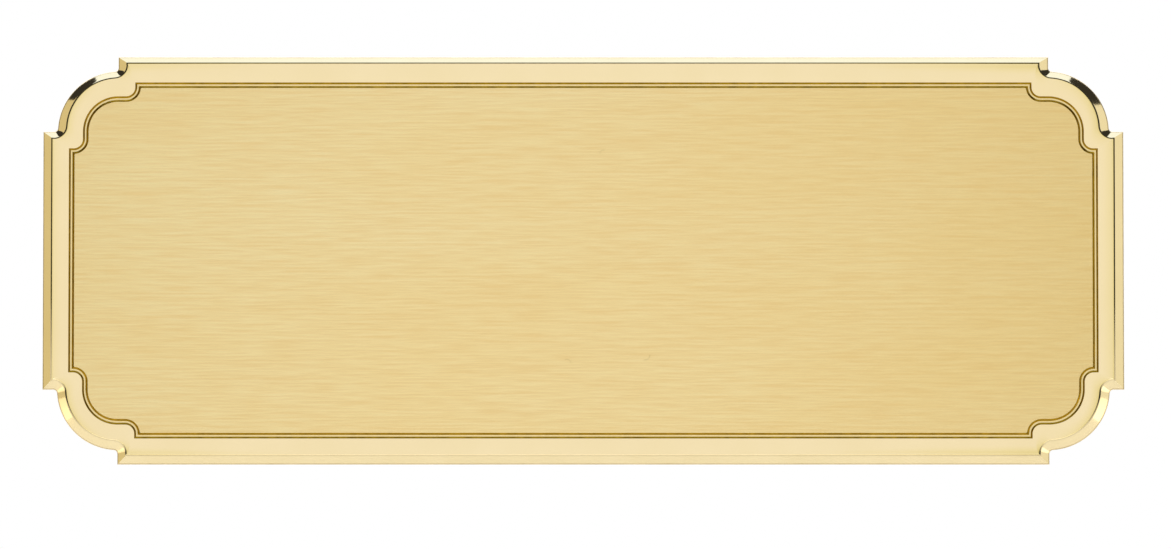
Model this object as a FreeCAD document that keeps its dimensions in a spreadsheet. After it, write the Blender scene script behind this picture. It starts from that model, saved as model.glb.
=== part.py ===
import FreeCAD, Part
import math
import os

import Sketcher

# Ornamental solid brass kick plate, held on the door from behind. Millimetres.
# The plate stands upright with its face to -Y, its width along X and its height along Z.
# The origin is the centre of its flat back, the face that lies on the door.

SIZES = {
    # the plate
    "plate_width": 807.0,
    "plate_height": 305.0,
    "plate_thickness": 5.0,
    "land_height": 1.2,          # upright edge below the bevel
    "bevel_width": 6.0,
    "arris_width": 1.0,          # the eased edge between bevel and border
    "arris_height": 0.4,
    # the notched corners, measured from the corner of the square blank
    "step_wall": 56.0,           # the two step walls; the corner arc is struck from where they cross
    "step_depth": 10.8,          # how far the corner arc lies below the plate's straight edges
    "cove_radius": 3.0,
    # the engraved groove: its outer edge, from the plate's edge or the blank's corner
    "groove_inset": 19.4,
    "groove_width": 3.6,
    "groove_depth": 0.9,
    "groove_step": 68.8,
    "groove_corner_depth": 29.8,
    "groove_cove_radius": 7.0,
    # shouldered studs: a threaded foot, a collar sunk in the back, a plain shank and a threaded tip
    "stud_diameter": 5.0,        # both threads
    "stud_foot_length": 2.5,
    "stud_projection": 30.0,
    "stud_chamfer": 0.7,
    "stud_side_margin": 73.5,
    "stud_top_margin": 47.5,
    "shank_step": 0.5,           # radial, from the thread out to the shank
    "shank_setback": 0.5,        # the shank ends short of the washer, so that the nut grips the door
    "collar_step": 1.5,          # radial, from the shank out to the collar
    "collar_height": 1.0,
    "collar_sink": 0.1,          # the collar lies just below the back
    "collar_clearance": 0.1,     # radial, in its counterbore
    "stud_hole_clearance": 0.02,  # radial, a thread's fit
    "stud_hole_end_gap": 0.3,
    # washers and nuts
    "grip_thickness": 12.0,      # the door skin that the washers are set for
    "washer_clearance": 0.15,    # radial, on the stud
    "washer_diameter": 15.0,
    "washer_thickness": 1.2,
    "nut_flats": 8.0,
    "nut_height": 4.7,
    "nut_clearance": 0.05,       # radial, on the stud
    "nut_corner_ease": 0.35,
    "thrust_gap": 0.05,          # between a nut and its washer
    # foam tape in milled pockets, with release liners
    "tape_width": 25.0,
    "tape_thickness": 1.1,
    "tape_stud_gap": 40.0,       # from the end of a strip to the stud in line with it
    "tape_pocket_depth": 1.0,
    "tape_pocket_gap": 1.0,
    "tape_pocket_corner": 3.0,
    "liner_thickness": 0.15,
    "liner_tab": 14.0,           # the pocket runs on under it, for a fingertip
}

# expressions on the sheet: the stud column and row, a stud's shoulders, and the strips between studs
STUD_X = "(Sizes.plate_width / 2 - Sizes.stud_side_margin)"
STUD_Z = "(Sizes.plate_height / 2 - Sizes.stud_top_margin)"
SHANK_RADIUS = "(Sizes.stud_diameter / 2 + Sizes.shank_step)"
COLLAR_RADIUS = "(" + SHANK_RADIUS + " + Sizes.collar_step)"
COLLAR_FOOT = "(Sizes.collar_sink + Sizes.collar_height)"
LONG_TAPE = "(" + STUD_X + " - 2 * Sizes.tape_stud_gap)"
SHORT_TAPE = "(2 * (" + STUD_Z + " - Sizes.tape_stud_gap))"

# where each fixing and each strip goes, as shares of the stud column and the stud row
FIXINGS = {
    "top_left": (-1, 1),
    "top_middle": (0, 1),
    "top_right": (1, 1),
    "bottom_left": (-1, -1),
    "bottom_middle": (0, -1),
    "bottom_right": (1, -1),
}
LYING_TAPES = {
    "upper_left": (-0.5, 1),
    "upper_right": (0.5, 1),
    "centre_left": (-0.5, 0),
    "centre_right": (0.5, 0),
    "lower_left": (-0.5, -1),
    "lower_right": (0.5, -1),
}
STANDING_TAPES = {
    "left_end": (-1, 0),
    "right_end": (1, 0),
}

doc = FreeCAD.newDocument("kick_plate")


def make_sheet():
    """Puts each driving dimension in a cell of its own, with its name as the alias."""
    sheet = doc.addObject("Spreadsheet::Sheet", "Sizes")
    for row, (name, size) in enumerate(SIZES.items(), start=1):
        sheet.set("A%d" % row, name)
        sheet.set("B%d" % row, str(size))
        sheet.setAlias("B%d" % row, name)
    doc.recompute()
    return sheet


sheet = make_sheet()


def value(expression):
    """The number that an expression on the sheet has now."""
    return float(sheet.evalExpression(expression.replace("Sizes.", "")))


# ---------------------------------------------------------------- sketching helpers

def new_body(name):
    body = doc.addObject("PartDesign::Body", name)
    body.Label = name
    return body


def origin_plane(body, role):
    """One of the body's own origin planes, such as XZ_Plane."""
    return next(feature for feature in body.Origin.OriginFeatures if feature.Role == role)


def new_sketch(body, name, plane="XZ_Plane", offset=None):
    """A sketch on one of the body's own planes. On XZ_Plane a positive offset moves it to the front."""
    sketch = body.newObject("Sketcher::SketchObject", name)
    sketch.AttachmentSupport = [(origin_plane(body, plane), "")]
    sketch.MapMode = "FlatFace"
    if offset is not None:
        sketch.AttachmentOffset = FreeCAD.Placement(FreeCAD.Vector(0, 0, value(offset)), FreeCAD.Rotation())
        sketch.setExpression("AttachmentOffset.Base.z", offset)
    return sketch


def bind(sketch, name, expression, kind, *places):
    """Adds a dimension to the sketch and ties it to the sheet."""
    index = sketch.addConstraint(Sketcher.Constraint(kind, *places, value(expression)))
    sketch.renameConstraint(index, name)
    sketch.setExpression("Constraints." + name, expression)


def tie(sketch, kind, *places):
    sketch.addConstraint(Sketcher.Constraint(kind, *places))


def add_line(sketch, start, end):
    return sketch.addGeometry(Part.LineSegment(FreeCAD.Vector(*start, 0), FreeCAD.Vector(*end, 0)), False)


def add_arc(sketch, centre, radius, start_angle, end_angle):
    circle = Part.Circle(FreeCAD.Vector(*centre, 0), FreeCAD.Vector(0, 0, 1), radius)
    return sketch.addGeometry(Part.ArcOfCircle(circle, start_angle, end_angle), False)


def add_circle(sketch, centre, radius):
    circle = Part.Circle(FreeCAD.Vector(*centre, 0), FreeCAD.Vector(0, 0, 1), radius)
    return sketch.addGeometry(circle, False)


def add_rectangle(sketch, length, height):
    """A rectangle of four lines about the sketch's origin."""
    right = value(length) / 2
    high = value(height) / 2
    corners = [(-right, -high), (right, -high), (right, high), (-right, high)]
    lines = [add_line(sketch, corners[i], corners[(i + 1) % 4]) for i in range(4)]
    for i in range(4):
        tie(sketch, "Coincident", lines[i], 2, lines[(i + 1) % 4], 1)
        tie(sketch, "Horizontal" if i % 2 == 0 else "Vertical", lines[i])
    tie(sketch, "Symmetric", lines[0], 1, lines[1], 2, -1, 1)
    bind(sketch, "length", length, "DistanceX", lines[0], 1, lines[0], 2)
    bind(sketch, "height", height, "DistanceY", lines[1], 1, lines[1], 2)


def add_rounded_rectangle(sketch, name, centre_x, centre_z, length, height, corner):
    """A rectangle with round corners, drawn from its low side's line round to its left side's arc."""
    radius = value(corner)
    left = value("%s - %s / 2" % (centre_x, length))
    low = value("%s - %s / 2" % (centre_z, height))
    right = left + value(length)
    high = low + value(height)
    lines = [
        add_line(sketch, (left + radius, low), (right - radius, low)),
        add_line(sketch, (right, low + radius), (right, high - radius)),
        add_line(sketch, (right - radius, high), (left + radius, high)),
        add_line(sketch, (left, high - radius), (left, low + radius)),
    ]
    arc_centres = [(right - radius, low + radius), (right - radius, high - radius),
                   (left + radius, high - radius), (left + radius, low + radius)]
    for i, centre in enumerate(arc_centres):
        start_angle = (i - 1) * math.pi / 2
        arc = add_arc(sketch, centre, radius, start_angle, start_angle + math.pi / 2)
        tie(sketch, "Tangent", lines[i], 2, arc, 1)
        tie(sketch, "Tangent", arc, 2, lines[(i + 1) % 4], 1)
        bind(sketch, "%s_corner_%d" % (name, i), corner, "Radius", arc)
        tie(sketch, "Horizontal" if i % 2 == 0 else "Vertical", lines[i])
    inner_length = "%s - 2 * %s" % (length, corner)
    inner_height = "%s - 2 * %s" % (height, corner)
    bind(sketch, name + "_length", inner_length, "DistanceX", lines[0], 1, lines[0], 2)
    bind(sketch, name + "_height", inner_height, "DistanceY", lines[1], 1, lines[1], 2)
    bind(sketch, name + "_x", "%s - (%s) / 2" % (centre_x, inner_length), "DistanceX", -1, 1, lines[0], 1)
    bind(sketch, name + "_z", "%s - %s / 2" % (centre_z, height), "DistanceY", -1, 1, lines[0], 1)


def add_turned_profile(sketch, name, points):
    """A closed outline of straight lines to turn about the sketch's upright axis.

    Each point is a pair of expressions, its radius and its height; a radius of "0" lies on the axis.
    """
    places = [(value(radius), value(height)) for radius, height in points]
    count = len(points)
    lines = [add_line(sketch, places[i], places[(i + 1) % count]) for i in range(count)]
    for i, (radius, height) in enumerate(points):
        tie(sketch, "Coincident", lines[i - 1], 2, lines[i], 1)
        if radius == "0":
            tie(sketch, "PointOnObject", lines[i], 1, -2)
        else:
            bind(sketch, "%s_radius_%d" % (name, i), radius, "DistanceX", -1, 1, lines[i], 1)
        if height == "0":
            tie(sketch, "PointOnObject", lines[i], 1, -1)
        else:
            bind(sketch, "%s_height_%d" % (name, i), height, "DistanceY", -1, 1, lines[i], 1)


def add_notched_quarter(sketch, name, inset, wall, cove, reach):
    """One quarter of a notched outline, from the top centre line round to the side centre line.

    inset  straight edges, from the edges of the blank
    wall   step walls, from the corner of the blank
    cove   radius of the hollow between a step wall and the corner arc
    reach  radius of the corner arc, struck from the crossing of the plate's step walls
    Returns the lines that begin and end the path.
    """
    half_x = value("Sizes.plate_width / 2")
    half_z = value("Sizes.plate_height / 2")
    middle = value("Sizes.step_wall")
    top = half_z - value(inset)
    side = half_x - value(inset)
    wall_x = half_x - value(wall)
    wall_z = half_z - value(wall)
    radius = value(cove)
    arc_radius = value(reach)
    centre = (half_x - middle, half_z - middle)

    # the cove's centre, as an offset from the arc's centre: past it, the cove meets the arc itself;
    # short of it, a flat leads from the cove to the top of the arc
    across = wall_x + radius - centre[0]
    has_flat = across < 0
    if has_flat:
        above = arc_radius + radius
        arc_top_angle = math.pi / 2
        cove_end_angle = 1.5 * math.pi
    else:
        above = math.sqrt((arc_radius + radius) ** 2 - across ** 2)
        arc_top_angle = math.atan2(above, across)
        cove_end_angle = arc_top_angle + math.pi
    side_arc_angle = math.pi / 2 - arc_top_angle
    side_cove_angle = math.pi / 2 - cove_end_angle
    top_cove = (centre[0] + across, centre[1] + above)
    side_cove = (centre[0] + above, centre[1] + across)

    top_edge = add_line(sketch, (0, top), (wall_x, top))
    top_wall = add_line(sketch, (wall_x, top), (wall_x, top_cove[1]))
    cove_1 = add_arc(sketch, top_cove, radius, math.pi, cove_end_angle)
    corner = add_arc(sketch, centre, arc_radius, side_arc_angle, arc_top_angle)
    cove_2 = add_arc(sketch, side_cove, radius, side_cove_angle, -math.pi / 2)
    side_wall = add_line(sketch, (side_cove[0], wall_z), (side, wall_z))
    side_edge = add_line(sketch, (side, wall_z), (side, 0))

    tie(sketch, "Coincident", top_edge, 2, top_wall, 1)
    tie(sketch, "Tangent", top_wall, 2, cove_1, 1)
    if has_flat:
        flat_1 = add_line(sketch, (top_cove[0], centre[1] + arc_radius), (centre[0], centre[1] + arc_radius))
        flat_2 = add_line(sketch, (centre[0] + arc_radius, centre[1]), (centre[0] + arc_radius, side_cove[1]))
        tie(sketch, "Tangent", cove_1, 2, flat_1, 1)
        tie(sketch, "Tangent", flat_1, 2, corner, 2)
        tie(sketch, "Tangent", corner, 1, flat_2, 1)
        tie(sketch, "Tangent", flat_2, 2, cove_2, 1)
        tie(sketch, "Horizontal", flat_1)
        tie(sketch, "Vertical", flat_2)
    else:
        tie(sketch, "Tangent", cove_1, 2, corner, 2)
        tie(sketch, "Tangent", corner, 1, cove_2, 1)
    tie(sketch, "Tangent", cove_2, 2, side_wall, 1)
    tie(sketch, "Coincident", side_wall, 2, side_edge, 1)
    for line in (top_edge, side_wall):
        tie(sketch, "Horizontal", line)
    for line in (top_wall, side_edge):
        tie(sketch, "Vertical", line)
    tie(sketch, "PointOnObject", top_edge, 1, -2)
    tie(sketch, "PointOnObject", side_edge, 2, -1)
    tie(sketch, "Equal", cove_1, cove_2)

    half_width = "Sizes.plate_width / 2 - "
    half_height = "Sizes.plate_height / 2 - "
    bind(sketch, name + "_top", half_height + "(%s)" % inset, "DistanceY", -1, 1, top_edge, 1)
    bind(sketch, name + "_side", half_width + "(%s)" % inset, "DistanceX", -1, 1, side_edge, 2)
    bind(sketch, name + "_wall_x", half_width + "(%s)" % wall, "DistanceX", -1, 1, top_wall, 1)
    bind(sketch, name + "_wall_z", half_height + "(%s)" % wall, "DistanceY", -1, 1, side_wall, 2)
    bind(sketch, name + "_cove", cove, "Radius", cove_1)
    bind(sketch, name + "_reach", reach, "Radius", corner)
    bind(sketch, name + "_arc_x", half_width + "Sizes.step_wall", "DistanceX", -1, 1, corner, 3)
    bind(sketch, name + "_arc_z", half_height + "Sizes.step_wall", "DistanceY", -1, 1, corner, 3)
    return top_edge, side_edge


def add_plate_quarter(sketch, inset):
    """A closed quarter of the plate's outline, drawn in from it by the inset all round."""
    inset = "(%s)" % inset
    top_edge, side_edge = add_notched_quarter(
        sketch, "outline", inset, "Sizes.step_wall + " + inset, "Sizes.cove_radius + " + inset,
        "Sizes.step_wall - Sizes.step_depth - " + inset)
    top = value("Sizes.plate_height / 2 - " + inset)
    side = value("Sizes.plate_width / 2 - " + inset)
    bottom_line = add_line(sketch, (side, 0), (0, 0))
    centre_line = add_line(sketch, (0, 0), (0, top))
    tie(sketch, "Coincident", bottom_line, 1, side_edge, 2)
    tie(sketch, "Coincident", bottom_line, 2, -1, 1)
    tie(sketch, "Coincident", centre_line, 1, -1, 1)
    tie(sketch, "Coincident", centre_line, 2, top_edge, 1)


def add_groove_quarter(sketch):
    """A closed quarter of the groove's band, between its outer edge and its inner edge."""
    ends = []
    for name, inward in (("outer", "0"), ("inner", "Sizes.groove_width")):
        ends.append(add_notched_quarter(
            sketch, name, "Sizes.groove_inset + " + inward, "Sizes.groove_step + " + inward,
            "Sizes.groove_cove_radius + " + inward,
            "Sizes.step_wall - Sizes.groove_corner_depth - " + inward))
    (outer_top, outer_side), (inner_top, inner_side) = ends
    outer_z = value("Sizes.plate_height / 2 - Sizes.groove_inset")
    outer_x = value("Sizes.plate_width / 2 - Sizes.groove_inset")
    width = value("Sizes.groove_width")
    top_end = add_line(sketch, (0, outer_z), (0, outer_z - width))
    side_end = add_line(sketch, (outer_x, 0), (outer_x - width, 0))
    tie(sketch, "Coincident", top_end, 1, outer_top, 1)
    tie(sketch, "Coincident", top_end, 2, inner_top, 1)
    tie(sketch, "Coincident", side_end, 1, outer_side, 2)
    tie(sketch, "Coincident", side_end, 2, inner_side, 2)


def share(factor, expression):
    return "(%g * %s)" % (factor, expression)


def tape_boxes():
    """Every strip of tape: its name, centre and sides, and which way its liner's tab runs on."""
    for name, (column, row) in LYING_TAPES.items():
        outward = math.copysign(1, column)
        yield name, share(column, STUD_X), share(row, STUD_Z), LONG_TAPE, "Sizes.tape_width", (outward, 0)
    for name, (column, row) in STANDING_TAPES.items():
        yield name, share(column, STUD_X), share(row, STUD_Z), "Sizes.tape_width", SHORT_TAPE, (0, 1)


def with_tab(centre_x, centre_z, length, height, tab):
    """The same box, longer by the liner's tab on the side that the tab runs to."""
    across, up = tab
    return ("(%s + %s)" % (centre_x, share(across / 2, "Sizes.liner_tab")),
            "(%s + %s)" % (centre_z, share(up / 2, "Sizes.liner_tab")),
            "(%s + %s)" % (length, share(abs(across), "Sizes.liner_tab")),
            "(%s + %s)" % (height, share(abs(up), "Sizes.liner_tab")))


# ---------------------------------------------------------------- the plate

def cut_tape_pockets(body):
    """Mills a shallow pocket with round corners for each strip and its liner's tab, from the back."""
    sketch = new_sketch(body, "tape_pocket_sketch")
    gap = "(%s + 2 * Sizes.tape_pocket_gap)"
    for name, *box, tab in tape_boxes():
        centre_x, centre_z, length, height = with_tab(*box, tab)
        add_rounded_rectangle(sketch, name, centre_x, centre_z, gap % length, gap % height,
                              "Sizes.tape_pocket_corner")
    pocket = body.newObject("PartDesign::Pocket", "tape_pockets")
    pocket.Profile = sketch
    pocket.setExpression("Length", "Sizes.tape_pocket_depth")
    pocket.Reversed = True
    doc.recompute()


def add_fixing_circles(sketch, diameter):
    """A circle on the axis of each stud."""
    for name, (column, row) in FIXINGS.items():
        place = (value(share(column, STUD_X)), value(share(row, STUD_Z)))
        circle = add_circle(sketch, place, value(diameter) / 2)
        bind(sketch, name + "_diameter", diameter, "Diameter", circle)
        if column == 0:
            tie(sketch, "PointOnObject", circle, 3, -2)
        else:
            bind(sketch, name + "_x", share(column, STUD_X), "DistanceX", -1, 1, circle, 3)
        bind(sketch, name + "_z", share(row, STUD_Z), "DistanceY", -1, 1, circle, 3)


def drill_stud_holes(body):
    """Counterbores the back for the six collars, then drills the blind holes for the studs' feet."""
    collar_sketch = new_sketch(body, "counterbore_sketch")
    add_fixing_circles(collar_sketch, "2 * (" + COLLAR_RADIUS + " + Sizes.collar_clearance)")
    counterbores = body.newObject("PartDesign::Pocket", "counterbores")
    counterbores.Profile = collar_sketch
    counterbores.setExpression("Length", COLLAR_FOOT)
    counterbores.Reversed = True
    doc.recompute()

    hole_diameter = "Sizes.stud_diameter + 2 * Sizes.stud_hole_clearance"
    hole_sketch = new_sketch(body, "stud_hole_sketch")
    add_fixing_circles(hole_sketch, hole_diameter)
    doc.recompute()
    holes = body.newObject("PartDesign::Hole", "stud_holes")
    holes.Profile = hole_sketch
    holes.DepthType = "Dimension"
    holes.DrillPoint = "Flat"
    holes.Reversed = True
    holes.setExpression("Diameter", hole_diameter)
    holes.setExpression("Depth", COLLAR_FOOT + " + Sizes.stud_foot_length + Sizes.stud_hole_end_gap")


def mirror_whole(body, name, plane):
    mirror = body.newObject("PartDesign::Mirrored", name)
    mirror.TransformMode = "Whole shape"
    mirror.MirrorPlane = (origin_plane(body, plane), [""])
    mirror.Refine = True
    body.Tip = mirror
    doc.recompute()


def make_face_plate():
    """The brass plate: upright land, bevel and eased arris, groove, tape pockets and stud holes."""
    body = new_body("face_plate")

    land_sketch = new_sketch(body, "land_sketch")
    add_plate_quarter(land_sketch, "0")
    land = body.newObject("PartDesign::Pad", "land")
    land.Profile = land_sketch
    land.setExpression("Length", "Sizes.land_height")

    arris_foot = "Sizes.plate_thickness - Sizes.arris_height"
    levels = [
        ("bevel_foot", "0", "Sizes.land_height"),
        ("bevel_top", "Sizes.bevel_width", arris_foot),
        ("border_edge", "Sizes.bevel_width + Sizes.arris_width", "Sizes.plate_thickness"),
    ]
    sections = []
    for name, inset, depth in levels:
        section = new_sketch(body, name, offset=depth)
        add_plate_quarter(section, inset)
        sections.append(section)
    bevel = body.newObject("PartDesign::AdditiveLoft", "bevel")
    bevel.Profile = sections[0]
    bevel.Sections = [(section, [""]) for section in sections[1:]]
    bevel.Ruled = True
    doc.recompute()

    groove_sketch = new_sketch(body, "groove_sketch", offset="Sizes.plate_thickness")
    add_groove_quarter(groove_sketch)
    groove = body.newObject("PartDesign::Pocket", "groove")
    groove.Profile = groove_sketch
    groove.setExpression("Length", "Sizes.groove_depth")
    doc.recompute()

    mirror_whole(body, "right_to_left", "YZ_Plane")
    mirror_whole(body, "top_to_bottom", "XY_Plane")
    cut_tape_pockets(body)
    drill_stud_holes(body)


# ---------------------------------------------------------------- fixings

def place_fixing(body, column, row, depth):
    """Puts a fixing on a stud's axis, at a depth behind the back of the plate."""
    body.setExpression("Placement.Base.x", share(column, STUD_X))
    body.setExpression("Placement.Base.y", depth)
    body.setExpression("Placement.Base.z", share(row, STUD_Z))


def pad_backwards(body, sketch, name, length):
    pad = body.newObject("PartDesign::Pad", name)
    pad.Profile = sketch
    pad.setExpression("Length", length)
    pad.Reversed = True
    return pad


def make_stud(name, column, row):
    """A shouldered stud, turned about Y, with its threads plain at their major diameter."""
    body = new_body("stud_" + name)
    sketch = new_sketch(body, body.Label + "_profile", "XY_Plane")
    thread = "Sizes.stud_diameter / 2"
    eased = thread + " - Sizes.stud_chamfer"
    foot = "-(" + COLLAR_FOOT + " + Sizes.stud_foot_length)"
    shank_end = "Sizes.grip_thickness - Sizes.shank_setback"
    tip = "Sizes.stud_projection"
    add_turned_profile(sketch, "stud", [
        ("0", foot),
        (eased, foot),
        (thread, foot + " + Sizes.stud_chamfer"),
        (thread, "-" + COLLAR_FOOT),
        (COLLAR_RADIUS, "-" + COLLAR_FOOT),
        (COLLAR_RADIUS, "-Sizes.collar_sink"),
        (SHANK_RADIUS, "-Sizes.collar_sink"),
        (SHANK_RADIUS, shank_end),
        (thread, shank_end),
        (thread, tip + " - Sizes.stud_chamfer"),
        (eased, tip),
        ("0", tip),
    ])
    turning = body.newObject("PartDesign::Revolution", body.Label + "_turned")
    turning.Profile = sketch
    turning.ReferenceAxis = (sketch, ["V_Axis"])
    turning.Angle = 360.0
    place_fixing(body, column, row, "0")


def make_washer(name, column, row):
    body = new_body("washer_" + name)
    sketch = new_sketch(body, body.Label + "_profile")
    hole_diameter = "Sizes.stud_diameter + 2 * Sizes.washer_clearance"
    for ring, diameter in (("rim", "Sizes.washer_diameter"), ("hole", hole_diameter)):
        circle = add_circle(sketch, (0, 0), value(diameter) / 2)
        tie(sketch, "Coincident", circle, 3, -1, 1)
        bind(sketch, ring, diameter, "Diameter", circle)
    pad_backwards(body, sketch, body.Label + "_pad", "Sizes.washer_thickness")
    place_fixing(body, column, row, "Sizes.grip_thickness")


def make_nut(name, column, row):
    """A hexagon nut, plain bored at the thread's major diameter, with its corners eased at both ends."""
    body = new_body("nut_" + name)
    sketch = new_sketch(body, body.Label + "_profile")
    corner_radius = value("Sizes.nut_flats") / math.sqrt(3)
    corners = [(corner_radius * math.cos(i * math.pi / 3), corner_radius * math.sin(i * math.pi / 3))
               for i in range(6)]
    lines = [add_line(sketch, corners[i], corners[(i + 1) % 6]) for i in range(6)]
    rim = add_circle(sketch, (0, 0), corner_radius)
    sketch.setConstruction(rim, True)
    tie(sketch, "Coincident", rim, 3, -1, 1)
    for i in range(6):
        tie(sketch, "Coincident", lines[i], 2, lines[(i + 1) % 6], 1)
        tie(sketch, "PointOnObject", lines[i], 1, rim)
    for i in range(1, 6):
        tie(sketch, "Equal", lines[0], lines[i])
    tie(sketch, "PointOnObject", lines[0], 1, -1)
    bind(sketch, "corners", "2 * Sizes.nut_flats / sqrt(3)", "Diameter", rim)
    bore = "Sizes.stud_diameter + 2 * Sizes.nut_clearance"
    hole = add_circle(sketch, (0, 0), value(bore) / 2)
    tie(sketch, "Coincident", hole, 3, -1, 1)
    bind(sketch, "bore", bore, "Diameter", hole)
    pad_backwards(body, sketch, body.Label + "_pad", "Sizes.nut_height")
    doc.recompute()
    ease_nut_corners(body)
    place_fixing(body, column, row, "Sizes.grip_thickness + Sizes.washer_thickness + Sizes.thrust_gap")


def ease_nut_corners(body):
    """Turns a small chamfer on the hexagon's corners, at both ends."""
    sketch = new_sketch(body, body.Label + "_ease_profile", "XY_Plane")
    rim = "Sizes.nut_flats / sqrt(3)"
    inner = rim + " - Sizes.nut_corner_ease * sqrt(3)"
    far = "Sizes.nut_height"
    add_turned_profile(sketch, "near", [(inner, "0"), (rim, "0"), (rim, "Sizes.nut_corner_ease")])
    add_turned_profile(sketch, "far", [(inner, far), (rim, far), (rim, far + " - Sizes.nut_corner_ease")])
    cut = body.newObject("PartDesign::Groove", body.Label + "_ease")
    cut.Profile = sketch
    cut.ReferenceAxis = (sketch, ["V_Axis"])
    cut.Angle = 360.0


# ---------------------------------------------------------------- foam tape and liners

def make_strip(name, box, thickness, depth):
    """A flat rectangular strip, lying at a depth behind the back of the plate."""
    centre_x, centre_z, length, height = box
    body = new_body(name)
    sketch = new_sketch(body, name + "_profile")
    add_rectangle(sketch, length, height)
    pad_backwards(body, sketch, name + "_pad", thickness)
    body.setExpression("Placement.Base.x", centre_x)
    body.setExpression("Placement.Base.y", depth)
    body.setExpression("Placement.Base.z", centre_z)


def make_tapes():
    """The foam strips in their pockets, and on each a liner with a tab over the pocket's free end."""
    foam_face = "Sizes.tape_thickness - Sizes.tape_pocket_depth"
    for name, *box, tab in tape_boxes():
        make_strip("foam_tape_" + name, box, "Sizes.tape_thickness", "-Sizes.tape_pocket_depth")
        make_strip("release_liner_" + name, with_tab(*box, tab), "Sizes.liner_thickness", foam_face)


# ---------------------------------------------------------------- checks and export

def export_parts():
    """Refuses a failed feature or an unsound solid, then writes one file for each body."""
    for item in doc.Objects:
        if "Invalid" in item.State or "Error" in item.State:
            raise RuntimeError("%s is %s" % (item.Label, item.State))
    bodies = [item for item in doc.Objects if item.TypeId == "PartDesign::Body"]
    for body in bodies:
        if body.Shape.isNull() or not body.Shape.isValid() or len(body.Shape.Solids) != 1:
            raise RuntimeError("%s is not one sound solid" % body.Label)
    os.makedirs("parts", exist_ok=True)
    for body in bodies:
        body.Shape.exportStep("parts/%s.step" % body.Label)
    print("wrote %d parts" % len(bodies))


make_face_plate()
for fixing, (fixing_column, fixing_row) in FIXINGS.items():
    make_stud(fixing, fixing_column, fixing_row)
    make_washer(fixing, fixing_column, fixing_row)
    make_nut(fixing, fixing_column, fixing_row)
make_tapes()
doc.recompute()
export_parts()
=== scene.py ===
import math

import bmesh
import bpy
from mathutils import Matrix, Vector


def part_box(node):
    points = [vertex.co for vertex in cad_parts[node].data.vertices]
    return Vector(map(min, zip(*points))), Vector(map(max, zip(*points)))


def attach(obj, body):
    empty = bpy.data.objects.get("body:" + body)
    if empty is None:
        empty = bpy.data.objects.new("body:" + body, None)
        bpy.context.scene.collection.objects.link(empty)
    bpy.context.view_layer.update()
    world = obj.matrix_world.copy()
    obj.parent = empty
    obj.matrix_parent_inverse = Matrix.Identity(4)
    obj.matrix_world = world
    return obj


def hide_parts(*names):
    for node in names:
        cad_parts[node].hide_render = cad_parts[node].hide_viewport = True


# The looks of an ornamental solid brass kick plate, its rear fixings, foam tape and release liners.
# The plate's face is towards -Y and its flat back lies at Y = 0. Lengths below are millimetres.

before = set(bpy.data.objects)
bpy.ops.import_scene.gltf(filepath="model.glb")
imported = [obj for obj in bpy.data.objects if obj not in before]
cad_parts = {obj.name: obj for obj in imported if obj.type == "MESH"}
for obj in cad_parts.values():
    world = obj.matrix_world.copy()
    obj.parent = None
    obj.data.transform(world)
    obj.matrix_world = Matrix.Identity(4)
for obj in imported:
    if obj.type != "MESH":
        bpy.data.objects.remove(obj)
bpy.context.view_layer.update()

MM = 0.001

PLACES = ("top_left", "top_middle", "top_right", "bottom_left", "bottom_middle", "bottom_right")
STRIPS = ("upper_left", "upper_right", "centre_left", "centre_right",
          "lower_left", "lower_right", "left_end", "right_end")

plate_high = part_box("face_plate")[1] / MM
HALF_WIDTH = plate_high.x
HALF_HEIGHT = plate_high.z

# how the face is cut: distance in from the edge, height above the back
EDGE_CUTS = [
    (0.15, 0.0), (0.0, 0.15), (0.0, 1.0), (0.05, 1.15), (0.15, 1.26), (0.4, 1.425), (0.8, 1.652),
    (5.3, 4.202), (5.65, 4.4), (5.85, 4.503), (6.05, 4.594), (6.25, 4.671), (6.45, 4.735), (6.65, 4.786),
    (6.85, 4.824), (7.05, 4.85), (7.25, 4.867), (7.5, 4.883),
]
GROOVE_CUTS = [
    (-0.5, 4.883), (-0.2, 4.866), (0.0, 4.84), (0.12, 4.79), (0.22, 4.72), (1.1, 4.16), (1.2, 4.11),
    (1.3, 4.1), (1.4, 4.1), (2.2, 4.1), (2.3, 4.1), (2.4, 4.11), (2.5, 4.16), (3.35, 4.76), (3.47, 4.86),
    (3.6, 4.94), (3.78, 4.988), (4.0, 5.0), (4.35, 5.0),
]
BORDER_STEPS = 10
# how far the border rises between its two edges, which keeps its reflection even
BORDER_CROWN = 0.115
# the hand-polished arris doesn't run evenly: its drift at the plate's middle, and what each end adds
ARRIS_DRIFT = (-0.32, 0.9)
ARRIS_SPREAD = (-0.33, 0.85)

CORNER_STEP = 56.0
OUTER_ARC = 45.2
OUTER_COVE = 3.0
OUTER_COVE_CENTRE = (53.0, 7.893)
GROOVE_INSET = 19.4
GROOVE_STEP = 68.8
GROOVE_ARC = 26.2
GROOVE_COVE = 7.0
GROOVE_COVE_CENTRE = (61.8, 22.8)
COVE_STEPS = 12
ARC_STEPS = 24

# studs, washers and nuts: radii, and distances along Y from the back
STUD_THREAD = 2.5
STUD_SHANK = 3.0
STUD_COLLAR = 4.5
COLLAR_TOP = -0.1
COLLAR_FOOT = -1.1
SHANK_END = 11.5
STUD_TIP = 30.0
TIP_EASE = 0.7
THREAD_PITCH = 0.8
THREAD_DEPTH = 0.45
COUNTERBORE = 4.6
COUNTERBORE_LIP = 0.12
FOOT_HOLE = 2.52
FOOT_HOLE_FLOOR = -3.9
WASHER_HOLE = 2.65
NUT_BORE = 2.55
NUT_THREAD = 2.8
NUT_THREAD_DEPTH = 0.25
NUT_MOUTH = 0.35
STUD_STEPS = 48
TIP_STEPS = 32
WASHER_STEPS = 64
NUT_STEPS = 72

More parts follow.
